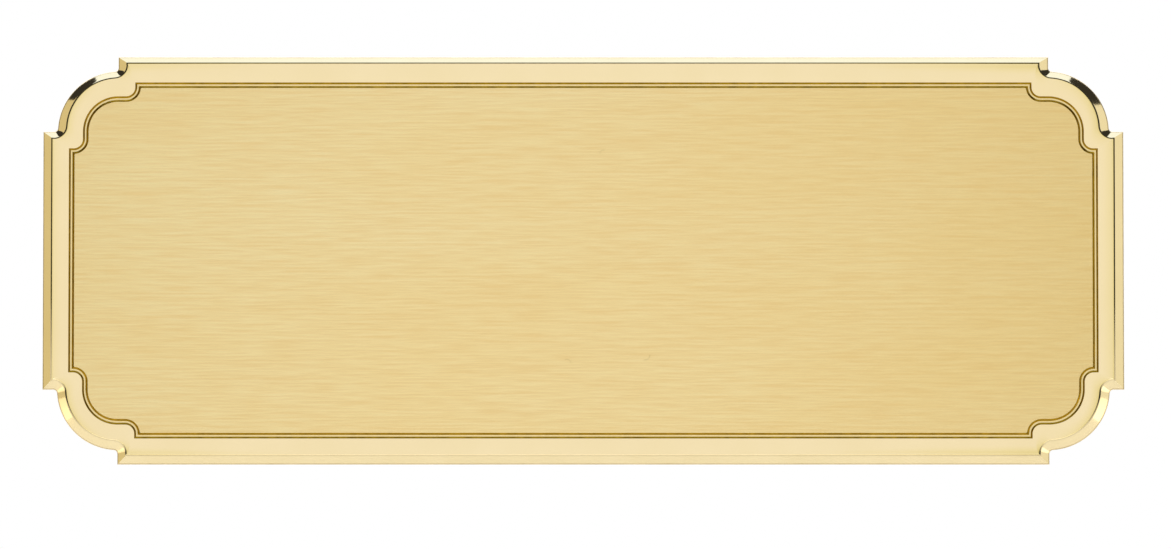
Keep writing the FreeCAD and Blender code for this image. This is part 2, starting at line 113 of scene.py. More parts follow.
POCKET_GAP = 1.0
POCKET_DEPTH = 1.0
POCKET_CORNER = 3.0

# a liner's rows of points, the share of them that lies in its tab, and the tab's shape
LINER_ROWS = 60
LINER_COLUMNS = 10
TAB_ROWS = 0.18
TAB_LIFT = 2.4
TAB_RIPPLE = 0.25
TAB_PINCH = 0.22
TAB_PINCH_FROM = 0.55

FLOOR_HEIGHT = -760.0
FLOOR_REACH = 9000.0


# ---------------------------------------------------------------- node trees

def node(tree, kind, inputs=None, **settings):
    """Adds a node. An input given as a socket is linked, and any other value is set on it."""
    made = tree.nodes.new(kind)
    for name, setting in settings.items():
        setattr(made, name, setting)
    for name, given in (inputs or {}).items():
        if isinstance(given, bpy.types.NodeSocket):
            tree.links.new(given, made.inputs[name])
        else:
            made.inputs[name].default_value = given
    return made


def math_node(tree, operation, first, second=0.0, third=0.0):
    return node(tree, "ShaderNodeMath", {0: first, 1: second, 2: third}, operation=operation).outputs[0]


def remap(tree, value, low, high, to_low, to_high):
    return node(tree, "ShaderNodeMapRange", {
        "Value": value, "From Min": low, "From Max": high, "To Min": to_low, "To Max": to_high,
    }).outputs["Result"]


def stretched_noise(tree, scale, detail=2.0, roughness=0.5, turn=(0.0, 0.0, 0.0), offset=(0.0, 0.0, 0.0)):
    """Noise on the piece's own coordinates, with a scale per metre along each axis."""
    place = node(tree, "ShaderNodeTexCoord").outputs["Object"]
    stretch = node(tree, "ShaderNodeMapping", {
        "Vector": place, "Location": offset, "Rotation": turn, "Scale": scale,
    })
    return node(tree, "ShaderNodeTexNoise", {
        "Vector": stretch.outputs[0], "Scale": 1.0, "Detail": detail, "Roughness": roughness,
    }).outputs[0]


def blend_colours(tree, share, first, second):
    mix = node(tree, "ShaderNodeMix", data_type="RGBA")
    for socket, given in ((mix.inputs[0], share), (mix.inputs[6], first), (mix.inputs[7], second)):
        if isinstance(given, bpy.types.NodeSocket):
            tree.links.new(given, socket)
        else:
            socket.default_value = given if isinstance(given, float) else (*given, 1.0)
    return mix.outputs[2]


def bump(tree, height, strength, distance, under=None):
    inputs = {"Height": height, "Strength": strength, "Distance": distance}
    if under is not None:
        inputs["Normal"] = under
    return node(tree, "ShaderNodeBump", inputs).outputs[0]


def finish_material(name, shader_inputs):
    material = bpy.data.materials.new(name)
    material.use_nodes = True
    tree = material.node_tree
    shader = tree.nodes["Principled BSDF"]
    for key, given in shader_inputs(tree).items():
        if isinstance(given, bpy.types.NodeSocket):
            tree.links.new(given, shader.inputs[key])
        else:
            shader.inputs[key].default_value = given
    return material


# ---------------------------------------------------------------- finishes

def curl_mark(tree, centre, radius, turn):
    """A faint curled nick in the face: part of a thin ring, 1 on the mark and 0 elsewhere."""
    place = node(tree, "ShaderNodeTexCoord").outputs["Object"]
    local = node(tree, "ShaderNodeMapping", {
        "Vector": place,
        "Location": (centre[0] * MM, 0.0, centre[1] * MM),
        "Rotation": (0.0, turn, 0.0),
        "Scale": (1.0, 0.0, 1.0),
    }, vector_type="TEXTURE").outputs[0]
    flat = node(tree, "ShaderNodeVectorMath", {0: local, 1: (1.0, 0.0, 1.7)}, operation="MULTIPLY").outputs[0]
    length = node(tree, "ShaderNodeVectorMath", {0: flat}, operation="LENGTH").outputs["Value"]
    off_ring = math_node(tree, "ABSOLUTE", math_node(tree, "SUBTRACT", length, radius * MM))
    ring = remap(tree, off_ring, 0.00012, 0.0004, 1.0, 0.0)
    height = node(tree, "ShaderNodeSeparateXYZ", {0: local}).outputs[2]
    upper = remap(tree, height, -0.0006, 0.0004, 0.0, 1.0)
    return math_node(tree, "MULTIPLY", ring, upper)


def brushed_field(tree):
    """Satin face, brushed lengthwise, with painted shade that darkens it towards its right end."""
    fine = stretched_noise(tree, (38.0, 1.0, 780.0), detail=1.0)
    long = stretched_noise(tree, (11.0, 1.0, 500.0), detail=1.0, offset=(3.1, 0.0, 7.7))
    broad = stretched_noise(tree, (3.0, 1.0, 11.0), detail=2.0)
    grain = math_node(tree, "ADD", math_node(tree, "MULTIPLY", fine, 0.55),
                      math_node(tree, "MULTIPLY", long, 0.45))
    marks = curl_mark(tree, (-11.5, -75.6), 2.2, 0.5)
    for centre, radius, turn in (((13.9, 81.2), 1.9, -0.7), ((47.5, -72.7), 2.4, 2.4)):
        marks = math_node(tree, "MAXIMUM", marks, curl_mark(tree, centre, radius, turn))
    streaks = remap(tree, grain, 0.37, 0.63, 0.0, 1.0)
    pale = blend_colours(tree, streaks, (0.905, 0.690, 0.335), (1.0, 0.825, 0.450))
    # painted shade: these darker, warmer streak colours stand in for the field's right end lying in less
    # light
    shaded_streaks = blend_colours(tree, streaks, (0.875, 0.630, 0.262), (0.985, 0.750, 0.338))
    place = node(tree, "ShaderNodeSeparateXYZ", {0: node(tree, "ShaderNodeTexCoord").outputs["Object"]})
    # painted shade ramp from left to right, plus random broad tone from the noise
    shade_and_tone = math_node(tree, "ADD", remap(tree, place.outputs[0], -0.25, 0.42, 0.0, 0.6),
                       remap(tree, broad, 0.35, 0.65, -0.1, 0.25))
    shaded_and_toned = blend_colours(tree, shade_and_tone, pale, shaded_streaks)
    marked = blend_colours(tree, math_node(tree, "MULTIPLY", marks, 0.55), shaded_and_toned, (0.45, 0.30, 0.10))
    brushing = bump(tree, grain, 0.2, 0.00002)
    return {
        "Base Color": marked,
        "Metallic": 1.0,
        "Roughness": remap(tree, grain, 0.3, 0.7, 0.21, 0.27),
        "Anisotropic": 0.45,
        "Normal": bump(tree, marks, -0.5, 0.0001, under=brushing),
    }


def polished_border(tree):
    """Mirror polish with the faint hairlines and haze of a buffed surface."""
    hairlines = stretched_noise(tree, (35.0, 1.0, 1500.0), detail=2.0, turn=(0.0, 0.05, 0.0))
    haze = stretched_noise(tree, (22.0, 22.0, 22.0), detail=4.0)
    tint = blend_colours(tree, remap(tree, haze, 0.35, 0.65, 0.0, 1.0),
                         (0.925, 0.765, 0.450), (0.945, 0.785, 0.475))
    return {
        "Base Color": tint,
        "Metallic": 1.0,
        "Roughness": remap(tree, haze, 0.3, 0.7, 0.055, 0.095),
        "Normal": bump(tree, hairlines, 0.12, 0.000004),
    }


def polished_bevel(tree):
    haze = stretched_noise(tree, (30.0, 30.0, 30.0), detail=4.0)
    drag = stretched_noise(tree, (260.0, 260.0, 260.0), detail=2.0)
    tint = blend_colours(tree, remap(tree, haze, 0.35, 0.65, 0.0, 1.0),
                         (0.915, 0.755, 0.440), (0.94, 0.78, 0.465))
    return {
        "Base Color": tint,
        "Metallic": 1.0,
        "Roughness": remap(tree, haze, 0.3, 0.7, 0.06, 0.11),
        "Normal": bump(tree, drag, 0.1, 0.00001),
    }


def cut_groove(tree):
    """The engraved groove, bright where the cutter ran, a little duller on its walls."""
    chatter = stretched_noise(tree, (420.0, 420.0, 420.0), detail=3.0)
    tint = blend_colours(tree, remap(tree, chatter, 0.35, 0.65, 0.0, 1.0),
                         (0.84, 0.66, 0.31), (0.90, 0.72, 0.37))
    return {
        "Base Color": tint,
        "Metallic": 1.0,
        "Roughness": remap(tree, chatter, 0.3, 0.7, 0.10, 0.2),
        "Normal": bump(tree, chatter, 0.15, 0.00001),
    }


def groove_wall(tree):
    """The groove's slopes, painted dark golden brown as painted shade for the dark that the steep walls
    reflect.
    """
    wall_mottle = stretched_noise(tree, (150.0, 150.0, 150.0), detail=5.0, roughness=0.6)
    fine = stretched_noise(tree, (900.0, 900.0, 900.0), detail=2.0)
    # painted shade: both dark brown colours stand in for the dark reflections on the groove's steep walls
    tint = blend_colours(tree, remap(tree, wall_mottle, 0.3, 0.7, 0.0, 1.0),
                         (0.46, 0.255, 0.010), (0.30, 0.165, 0.006))
    return {
        "Base Color": tint,
        "Metallic": 1.0,
        "Roughness": remap(tree, wall_mottle, 0.3, 0.7, 0.3, 0.45),
        "Normal": bump(tree, fine, 0.2, 0.00002),
    }


def filed_edge(tree):
    """The upright edge, drawn with a file along its length and left unpolished."""
    strokes = stretched_noise(tree, (120.0, 2600.0, 120.0), detail=3.0)
    tarnish = stretched_noise(tree, (40.0, 40.0, 40.0), detail=4.0)
    tint = blend_colours(tree, remap(tree, tarnish, 0.35, 0.65, 0.0, 1.0),
                         (0.64, 0.50, 0.27), (0.74, 0.59, 0.34))
    return {
        "Base Color": tint,
        "Metallic": 1.0,
        "Roughness": remap(tree, strokes, 0.3, 0.7, 0.24, 0.4),
        "Normal": bump(tree, strokes, 0.4, 0.00002),
    }


def mill_back(tree):
    """Rolled sheet as it leaves the mill: lengthwise lines, mottled tarnish and handling marks."""
    lines = stretched_noise(tree, (14.0, 1.0, 950.0), detail=3.0, offset=(1.7, 0.0, 2.3))
    mottle = stretched_noise(tree, (17.0, 17.0, 17.0), detail=6.0, roughness=0.62)
    spots = stretched_noise(tree, (95.0, 95.0, 95.0), detail=4.0, offset=(9.0, 0.0, 4.0))
    base = blend_colours(tree, remap(tree, mottle, 0.35, 0.68, 0.0, 1.0),
                         (0.74, 0.55, 0.25), (0.60, 0.40, 0.16))
    lined = blend_colours(tree, remap(tree, lines, 0.45, 0.7, 0.0, 0.35), base, (0.84, 0.68, 0.38))
    spotted = blend_colours(tree, remap(tree, spots, 0.62, 0.72, 0.0, 0.5), lined, (0.32, 0.19, 0.07))
    return {
        "Base Color": spotted,
        "Metallic": 1.0,
        "Roughness": remap(tree, mottle, 0.3, 0.7, 0.3, 0.46),
        "Normal": bump(tree, lines, 0.3, 0.00002),
    }


def milled_pocket(tree):
    """The pocket floors and the counterbores, with the arcs that an end mill leaves."""
    place = node(tree, "ShaderNodeTexCoord").outputs["Object"]
    arcs = node(tree, "ShaderNodeTexWave", {
        "Vector": place, "Scale": 260.0, "Distortion": 1.5, "Detail": 2.0, "Detail Scale": 1.0,
    }, wave_type="RINGS", rings_direction="Y").outputs["Fac"]
    grime = stretched_noise(tree, (60.0, 60.0, 60.0), detail=4.0)
    tint = blend_colours(tree, remap(tree, grime, 0.35, 0.65, 0.0, 1.0),
                         (0.62, 0.44, 0.18), (0.78, 0.60, 0.28))
    return {
        "Base Color": tint,
        "Metallic": 1.0,
        "Roughness": remap(tree, arcs, 0.0, 1.0, 0.26, 0.38),
        "Normal": bump(tree, arcs, 0.3, 0.00002),
    }


def turned_brass(tree):
    """Bar brass from the lathe, with fine feed lines round it and a little tarnish."""
    feed = stretched_noise(tree, (25.0, 5200.0, 25.0), detail=2.0)
    tarnish = stretched_noise(tree, (210.0, 210.0, 210.0), detail=4.0)
    tint = blend_colours(tree, remap(tree, tarnish, 0.35, 0.68, 0.0, 1.0),
                         (0.80, 0.60, 0.27), (0.62, 0.43, 0.17))
    return {
        "Base Color": tint,
        "Metallic": 1.0,
        "Roughness": remap(tree, tarnish, 0.3, 0.7, 0.18, 0.34),
        "Normal": bump(tree, feed, 0.25, 0.00001),
    }


def pressed_brass(tree):
    """Washers and nuts, tumbled after pressing: soft dents and rubbed high spots."""
    dents = stretched_noise(tree, (520.0, 520.0, 520.0), detail=3.0)
    tarnish = stretched_noise(tree, (160.0, 160.0, 160.0), detail=5.0, offset=(2.0, 5.0, 1.0))
    tint = blend_colours(tree, remap(tree, tarnish, 0.35, 0.66, 0.0, 1.0),
                         (0.83, 0.64, 0.31), (0.66, 0.46, 0.19))
    return {
        "Base Color": tint,
        "Metallic": 1.0,
        "Roughness": remap(tree, dents, 0.3, 0.7, 0.2, 0.36),
        "Normal": bump(tree, dents, 0.2, 0.00004),
    }


def foam_cells(tree):
    """Closed-cell foam: small round cells, matt and nearly black."""
    place = node(tree, "ShaderNodeTexCoord").outputs["Object"]
    cells = node(tree, "ShaderNodeTexVoronoi", {"Vector": place, "Scale": 2300.0}).outputs["Distance"]
    patches = stretched_noise(tree, (90.0, 90.0, 90.0), detail=3.0)
    pores = remap(tree, cells, 0.1, 0.6, 0.0, 1.0)
    tint = blend_colours(tree, pores, (0.010, 0.010, 0.011), (0.042, 0.042, 0.046))
    dusty = blend_colours(tree, remap(tree, patches, 0.5, 0.75, 0.0, 0.35), tint, (0.09, 0.088, 0.085))
    return {
        "Base Color": dusty,
        "Roughness": remap(tree, pores, 0.0, 1.0, 0.95, 0.8),
        "Specular IOR Level": 0.3,
        "Normal": bump(tree, pores, 0.6, 0.0001),
    }


def liner_film(tree):
    """Glossy red polyethylene film, with shallow ripples, pull lines and dust."""
    ripples = stretched_noise(tree, (45.0, 45.0, 190.0), detail=3.0)
    pull = stretched_noise(tree, (9.0, 9.0, 700.0), detail=2.0, offset=(4.0, 0.0, 1.0))
    dust = stretched_noise(tree, (700.0, 700.0, 700.0), detail=3.0)
    tint = blend_colours(tree, remap(tree, ripples, 0.35, 0.65, 0.0, 1.0),
                         (0.33, 0.007, 0.010), (0.39, 0.012, 0.013))
    dusty = blend_colours(tree, remap(tree, dust, 0.68, 0.78, 0.0, 0.25), tint, (0.75, 0.5, 0.45))
    rippled = bump(tree, ripples, 0.25, 0.0002)
    return {
        "Base Color": dusty,
        "Roughness": remap(tree, pull, 0.3, 0.7, 0.2, 0.3),
        "Specular IOR Level": 0.4,
        "Normal": bump(tree, pull, 0.12, 0.00003, under=rippled),
    }


FINISHES = {
    "brushed field": brushed_field,
    "polished border": polished_border,
    "polished bevel": polished_bevel,
    "cut groove": cut_groove,
    "groove wall": groove_wall,
    "filed edge": filed_edge,
    "mill back": mill_back,
    "milled pocket": milled_pocket,
    "turned brass": turned_brass,
    "pressed brass": pressed_brass,
    "foam cells": foam_cells,
    "liner film": liner_film,
}
finishes = {name: finish_material(name, inputs) for name, inputs in FINISHES.items()}


# ---------------------------------------------------------------- mesh helpers

def new_piece(name, bm, materials):
    """Turns a bmesh in millimetres into an object, with its place in its mesh."""
    bmesh.ops.scale(bm, vec=(MM, MM, MM), verts=bm.verts)
    mesh = bpy.data.meshes.new(name)
    bm.to_mesh(mesh)
    bm.free()
    for finish in materials:
        mesh.materials.append(finishes[finish])
    piece = bpy.data.objects.new(name, mesh)
    bpy.context.scene.collection.objects.link(piece)
    return piece


def skin(bm, rings, material=0, smooth=True, closed=False):
    """Faces between rings of vertices, each with the same number of points."""
    pairs = list(zip(rings, rings[1:]))
    if closed:
        pairs.append((rings[-1], rings[0]))
    faces = []
    for near, far in pairs:
        for i in range(len(near)):
            j = (i + 1) % len(near)
            face = bm.faces.new((near[i], near[j], far[j], far[i]))
            face.material_index = material
            face.smooth = smooth
            faces.append(face)
    return faces


def ring_of(bm, outline, y):
    return [bm.verts.new((x, y, z)) for x, z in outline]


def crisp_edges(bm, degrees):
    """Marks the edges that turn by more than this angle, so that shading breaks there."""
    limit = math.radians(degrees)
    for edge in bm.edges:
        if len(edge.link_faces) == 2 and edge.calc_face_angle(0.0) > limit:
            edge.smooth = False


def circle(centre, radius, steps):
    return [(centre[0] + radius * math.sin(2 * math.pi * i / steps),
             centre[1] + radius * math.cos(2 * math.pi * i / steps)) for i in range(steps)]


def rounded_box(low, high, radius, steps=6):
    """A rounded rectangle as a closed outline, from its low and high corners."""
    outline = []
    for cx, cz, start in ((high[0] - radius, high[1] - radius, 0), (low[0] + radius, high[1] - radius, 90),
                          (low[0] + radius, low[1] + radius, 180), (high[0] - radius, low[1] + radius, 270)):
        for i in range(steps + 1):
            angle = math.radians(start + 90 * i / steps)
            outline.append((cx + radius * math.cos(angle), cz + radius * math.sin(angle)))
    return outline


# ---------------------------------------------------------------- the plate's outlines

def corner_of_plate(inset):
    """Half a notched corner, from its step to the middle of its arc, as distances in from the two sides."""
    u, v = OUTER_COVE_CENTRE
    points = [(CORNER_STEP + inset, inset)]
    sweep = math.degrees(math.atan2(CORNER_STEP - v, CORNER_STEP - u))
    cove = OUTER_COVE + inset
    for i in range(COVE_STEPS + 1):
        angle = math.radians(180 + sweep * i / COVE_STEPS)
        points.append((u - cove * math.cos(angle), v - cove * math.sin(angle)))
    for i in range(1, ARC_STEPS + 2):
        angle = math.radians(sweep + (45 - sweep) * i / (ARC_STEPS + 1))
        points.append((CORNER_STEP - (OUTER_ARC - inset) * math.cos(angle),
                       CORNER_STEP - (OUTER_ARC - inset) * math.sin(angle)))
    return points


def corner_of_groove(inset):
    u, v = GROOVE_COVE_CENTRE
    points = [(GROOVE_STEP + inset, GROOVE_INSET + inset)]
    cove = GROOVE_COVE + inset
    for i in range(COVE_STEPS + 1):
        angle = math.radians(180 + 90 * i / COVE_STEPS)
        points.append((u - cove * math.cos(angle), v - cove * math.sin(angle)))
    for i in range(ARC_STEPS + 1):
        angle = math.radians(90 - 45 * i / ARC_STEPS)
        points.append((CORNER_STEP - (GROOVE_ARC - inset) * math.cos(angle),
                       CORNER_STEP - (GROOVE_ARC - inset) * math.sin(angle)))
    return points


def all_round(half_corner):
    """The whole outline, clockwise from the top right corner, from half of that corner."""
    corner = half_corner + [(v, u) for u, v in reversed(half_corner[:-1])]
    top_right = [(HALF_WIDTH - u, HALF_HEIGHT - v) for u, v in corner]
    bottom_right = [(x, -z) for x, z in reversed(top_right)]
    bottom_left = [(-x, -z) for x, z in top_right]
    top_left = [(-x, z) for x, z in reversed(top_right)]
    return top_right + bottom_right + bottom_left + top_left


def between(first, second, share):
    return [((1 - share) * a + share * c, (1 - share) * b + share * d)
            for (a, b), (c, d) in zip(first, second)]


def drifted(inset):
    """An outline of the edge, moved by the arris's drift in step with how far in it lies."""
    share = min(1.0, max(0.0, (inset - 0.2) / 5.3))
    return [(x + share * (ARRIS_DRIFT[0] + ARRIS_SPREAD[0] * x / HALF_WIDTH),
             z + share * (ARRIS_DRIFT[1] + ARRIS_SPREAD[1] * z / HALF_HEIGHT))
            for x, z in all_round(corner_of_plate(inset))]


# ---------------------------------------------------------------- the plate

def pocket_outline(strip):
    """The milled pocket of a foam strip: the strip and its liner's tab, with a gap all round."""
    foam_low, foam_high = (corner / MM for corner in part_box("foam_tape_" + strip))
    liner_low, liner_high = (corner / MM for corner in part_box("release_liner_" + strip))
    low = (min(foam_low.x, liner_low.x) - POCKET_GAP, min(foam_low.z, liner_low.z) - POCKET_GAP)
    high = (max(foam_high.x, liner_high.x) + POCKET_GAP, max(foam_high.z, liner_high.z) + POCKET_GAP)
    return rounded_box(low, high, POCKET_CORNER)


def stud_centre(place):
    low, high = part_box("stud_" + place)
    return ((low.x + high.x) / 2 / MM, (low.z + high.z) / 2 / MM)


def loop_edges(bm, ring):
    return [bm.edges.get((ring[i], ring[(i + 1) % len(ring)]))
            or bm.edges.new((ring[i], ring[(i + 1) % len(ring)])) for i in range(len(ring))]


def make_plate():
    """One closed shell: the cut face, the edge, and the back with its pockets and holes."""
    field, border, bevel, groove, wall, edge, back, pocket = range(8)
    bm = bmesh.new()
    outer = [ring_of(bm, drifted(inset), -height) for inset, height in EDGE_CUTS]
    skin(bm, outer[:7], edge)
    skin(bm, outer[6:], bevel)
    inner = [ring_of(bm, all_round(corner_of_groove(inset)), -height) for inset, height in GROOVE_CUTS]
    start = drifted(EDGE_CUTS[-1][0])
    end = all_round(corner_of_groove(GROOVE_CUTS[0][0]))
    crown = []
    for step in range(1, BORDER_STEPS):
        share = step / BORDER_STEPS
        height = GROOVE_CUTS[0][1] + BORDER_CROWN * 4 * share * (1 - share)
        crown.append(ring_of(bm, between(start, end, share), -height))
    skin(bm, [outer[-1], *crown, inner[0]], border)
    skin(bm, inner[:2], border)
    skin(bm, inner[1:7], wall)
    skin(bm, inner[6:13], groove)
    skin(bm, inner[12:18], wall)
    skin(bm, inner[17:], field)
    middle = bm.faces.new(inner[-1])
    middle.material_index = field

    openings = []
    for strip in STRIPS:
        rim = ring_of(bm, pocket_outline(strip), 0.0)
        floor = ring_of(bm, pocket_outline(strip), -POCKET_DEPTH)
        skin(bm, [rim, floor], pocket)
        bm.faces.new(floor).material_index = pocket
        openings += loop_edges(bm, rim)
    for place in PLACES:
        centre = stud_centre(place)
        rings = [ring_of(bm, circle(centre, radius, STUD_STEPS), y) for radius, y in (
            (COUNTERBORE + COUNTERBORE_LIP, 0.0), (COUNTERBORE, -COUNTERBORE_LIP),
            (COUNTERBORE, COLLAR_FOOT), (FOOT_HOLE, COLLAR_FOOT), (FOOT_HOLE, FOOT_HOLE_FLOOR))]
        skin(bm, rings, pocket)
        bm.faces.new(rings[-1]).material_index = pocket
        openings += loop_edges(bm, rings[0])
    rim_edges = loop_edges(bm, outer[0])
    filled = bmesh.ops.triangle_fill(bm, use_beauty=True, edges=rim_edges + openings, normal=(0, 1, 0))
    for made in filled["geom"]:
        if isinstance(made, bmesh.types.BMFace):
            made.material_index = back
            made.smooth = False
    bmesh.ops.recalc_face_normals(bm, faces=bm.faces)
    crisp_edges(bm, 33)
    return new_piece("kick_plate", bm, [
        "brushed field", "polished border", "polished bevel", "cut groove", "groove wall",
        "filed edge", "mill back", "milled pocket"])


# ---------------------------------------------------------------- threads, studs, washers and nuts

def add_socket(tree, name, kind, default=None, output=False):
    socket = tree.interface.new_socket(
        name=name, in_out="OUTPUT" if output else "INPUT", socket_type=kind)
    if default is not None:
        socket.default_value = default
    return socket


def thread_tree():
    """A right-hand thread about Y, cut into a rod of the given radius and eased at its far end."""
    tree = bpy.data.node_groups.new("cut thread", "GeometryNodeTree")
    add_socket(tree, "Geometry", "NodeSocketGeometry", output=True)
    for name, default in (("Radius", 2.5), ("Cut", 0.45), ("Pitch", 0.8), ("Start", 0.0),
                          ("Length", 10.0), ("Ease", 0.7)):
        add_socket(tree, name, "NodeSocketFloat", default)
    add_socket(tree, "Points Round", "NodeSocketInt", 33)
    add_socket(tree, "Points Along", "NodeSocketInt", 160)
    given = node(tree, "NodeGroupInput").outputs
    grid = node(tree, "GeometryNodeMeshGrid", {
        "Size X": 1.0, "Size Y": 1.0,
        "Vertices X": given["Points Round"], "Vertices Y": given["Points Along"]}).outputs[0]
    position = node(tree, "GeometryNodeInputPosition").outputs[0]
    place = node(tree, "ShaderNodeSeparateXYZ", {0: position}).outputs
    turn = math_node(tree, "ADD", place[0], 0.5)
    along = math_node(tree, "MULTIPLY", math_node(tree, "ADD", place[1], 0.5), given["Length"])
    phase = math_node(tree, "SUBTRACT", math_node(tree, "DIVIDE", along, given["Pitch"]), turn)
    saw = math_node(tree, "FRACT", phase)
    ramp = math_node(tree, "ABSOLUTE", math_node(tree, "SUBTRACT", saw, 0.5))
    flank = node(tree, "ShaderNodeMapRange", {
        "Value": ramp, "From Min": 0.07, "From Max": 0.42, "To Min": 0.0, "To Max": 1.0}).outputs[0]
    cut = math_node(tree, "SUBTRACT", given["Radius"], math_node(tree, "MULTIPLY", flank, given["Cut"]))
    to_tip = math_node(tree, "SUBTRACT", given["Length"], along)
    eased = math_node(tree, "ADD", math_node(tree, "SUBTRACT", given["Radius"], given["Ease"]), to_tip)
    radius = math_node(tree, "MINIMUM", cut, eased)
    angle = math_node(tree, "MULTIPLY", turn, 2 * math.pi)
    spot = node(tree, "ShaderNodeCombineXYZ", {
        0: math_node(tree, "MULTIPLY", radius, math_node(tree, "SINE", angle)),
        1: math_node(tree, "ADD", given["Start"], along),
        2: math_node(tree, "MULTIPLY", radius, math_node(tree, "COSINE", angle))}).outputs[0]
    wrapped = node(tree, "GeometryNodeSetPosition", {"Geometry": grid, "Position": spot}).outputs[0]
    joined = node(tree, "GeometryNodeMergeByDistance", {"Geometry": wrapped, "Distance": 0.0005}).outputs[0]
    smooth = node(tree, "GeometryNodeSetShadeSmooth", {"Geometry": joined, "Shade Smooth": True}).outputs[0]
    node(tree, "NodeGroupOutput", {"Geometry": smooth})
    return tree


def fitting_tree(thread):
    """Adds a thread to a turned or pressed blank and sets copies of both on a grid of stud centres."""
    tree = bpy.data.node_groups.new("threaded fittings", "GeometryNodeTree")
    add_socket(tree, "Blank", "NodeSocketGeometry")
    add_socket(tree, "Geometry", "NodeSocketGeometry", output=True)
    for name, default in (("Radius", 2.5), ("Cut", 0.45), ("Pitch", 0.8), ("Start", 0.0),
                          ("Length", 10.0), ("Ease", 0.7), ("Column Spacing", 330.0),
                          ("Row Spacing", 210.0), ("Scale", 0.001)):
        add_socket(tree, name, "NodeSocketFloat", default)
    for name, default in (("Points Round", 33), ("Points Along", 160), ("Columns", 1), ("Rows", 1)):
        add_socket(tree, name, "NodeSocketInt", default)
    add_socket(tree, "Centre", "NodeSocketVector")
    add_socket(tree, "Inside Thread", "NodeSocketBool", False)
    add_socket(tree, "Finish", "NodeSocketMaterial")
    given = node(tree, "NodeGroupInput").outputs
    cut = node(tree, "GeometryNodeGroup", node_tree=thread)
    for name in ("Radius", "Cut", "Pitch", "Start", "Length", "Ease", "Points Round", "Points Along"):
        tree.links.new(given[name], cut.inputs[name])
    turned_in = node(tree, "GeometryNodeFlipFaces", {"Mesh": cut.outputs[0]}).outputs[0]
    thread_side = node(tree, "GeometryNodeSwitch", {
        "Switch": given["Inside Thread"], "False": turned_in, "True": cut.outputs[0]},
        input_type="GEOMETRY").outputs[0]
    fitting = node(tree, "GeometryNodeJoinGeometry")
    tree.links.new(given["Blank"], fitting.inputs[0])
    tree.links.new(thread_side, fitting.inputs[0])
    wide = math_node(tree, "MULTIPLY", given["Column Spacing"],
                     math_node(tree, "SUBTRACT", given["Columns"], 1.0))
    tall = math_node(tree, "MULTIPLY", given["Row Spacing"],
                     math_node(tree, "SUBTRACT", given["Rows"], 1.0))
    grid = node(tree, "GeometryNodeMeshGrid", {
        "Size X": wide, "Size Y": tall,
        "Vertices X": given["Columns"], "Vertices Y": given["Rows"]}).outputs[0]
    upright = node(tree, "GeometryNodeTransform", {
        "Geometry": grid, "Rotation": (math.pi / 2, 0.0, 0.0), "Translation": given["Centre"]}).outputs[0]
    copies = node(tree, "GeometryNodeInstanceOnPoints", {
        "Points": upright, "Instance": fitting.outputs[0]}).outputs[0]
    plain = node(tree, "GeometryNodeRealizeInstances", {"Geometry": copies}).outputs[0]
    size = node(tree, "ShaderNodeCombineXYZ", {axis: given["Scale"] for axis in range(3)}).outputs[0]
    metres = node(tree, "GeometryNodeTransform", {"Geometry": plain, "Scale": size}).outputs[0]
    finished = node(tree, "GeometryNodeSetMaterial", {
        "Geometry": metres, "Material": given["Finish"]}).outputs[0]
    node(tree, "NodeGroupOutput", {"Geometry": finished})
    return tree


def grow(name, blank, tree, sizes, finish):
    """Runs a blank through a tree and keeps the result as a plain mesh piece."""
    mesh = bpy.data.meshes.new(name + "_blank")
    blank.to_mesh(mesh)
    blank.free()
    source = bpy.data.objects.new(name + "_blank", mesh)
    bpy.context.scene.collection.objects.link(source)
    modifier = source.modifiers.new("fittings", "NODES")
    modifier.node_group = tree
    by_name = {item.name: item.identifier for item in tree.interface.items_tree
               if item.item_type == "SOCKET" and item.in_out == "INPUT"}
    for key, given in {**sizes, "Finish": finishes[finish]}.items():
        modifier[by_name[key]] = given
    source.update_tag()
    settled = source.evaluated_get(bpy.context.evaluated_depsgraph_get())
    plain = bpy.data.meshes.new_from_object(settled)
    plain.name = name
    source.modifiers.remove(modifier)
    bpy.data.objects.remove(source)
    bpy.data.meshes.remove(mesh)
    piece = bpy.data.objects.new(name, plain)
    bpy.context.scene.collection.objects.link(piece)
    return piece


def stud_blank():
    """Collar and shank, with the flat tip of the thread, about the Y axis."""
    bm = bmesh.new()
    profile = [
        (0.0, COLLAR_FOOT), (STUD_COLLAR - 0.1, COLLAR_FOOT), (STUD_COLLAR, COLLAR_FOOT + 0.1),
        (STUD_COLLAR, COLLAR_TOP - 0.12), (STUD_COLLAR - 0.12, COLLAR_TOP), (STUD_SHANK + 0.25, COLLAR_TOP),
        (STUD_SHANK + 0.06, COLLAR_TOP + 0.07), (STUD_SHANK, COLLAR_TOP + 0.3), (STUD_SHANK, SHANK_END - 0.2),
        (STUD_SHANK - 0.2, SHANK_END), (STUD_THREAD - THREAD_DEPTH - 0.1, SHANK_END),
    ]
    turned(bm, profile, STUD_STEPS)
    tip = STUD_THREAD - TIP_EASE
    turned(bm, [(tip, STUD_TIP - 0.001), (tip * 0.6, STUD_TIP), (0.0, STUD_TIP)], TIP_STEPS)
    crisp_edges(bm, 30)
    return bm


def turned(bm, profile, steps):
    """A surface of revolution about Y from (radius, y) pairs. A radius of 0 closes it at a point."""
    rings = []
    for radius, y in profile:
        if radius == 0.0:
            rings.append(bm.verts.new((0.0, y, 0.0)))
        else:
            rings.append(ring_of(bm, circle((0.0, 0.0), radius, steps), y))
    for near, far in zip(rings, rings[1:]):
        if isinstance(near, list) and isinstance(far, list):
            skin(bm, [near, far])
        else:
            point, ring = (near, far) if isinstance(far, list) else (far, near)
            for i in range(steps):
                corners = (point, ring[i], ring[(i + 1) % steps])
                face = bm.faces.new(corners if point is far else corners[::-1])
                face.smooth = True
    bm.normal_update()


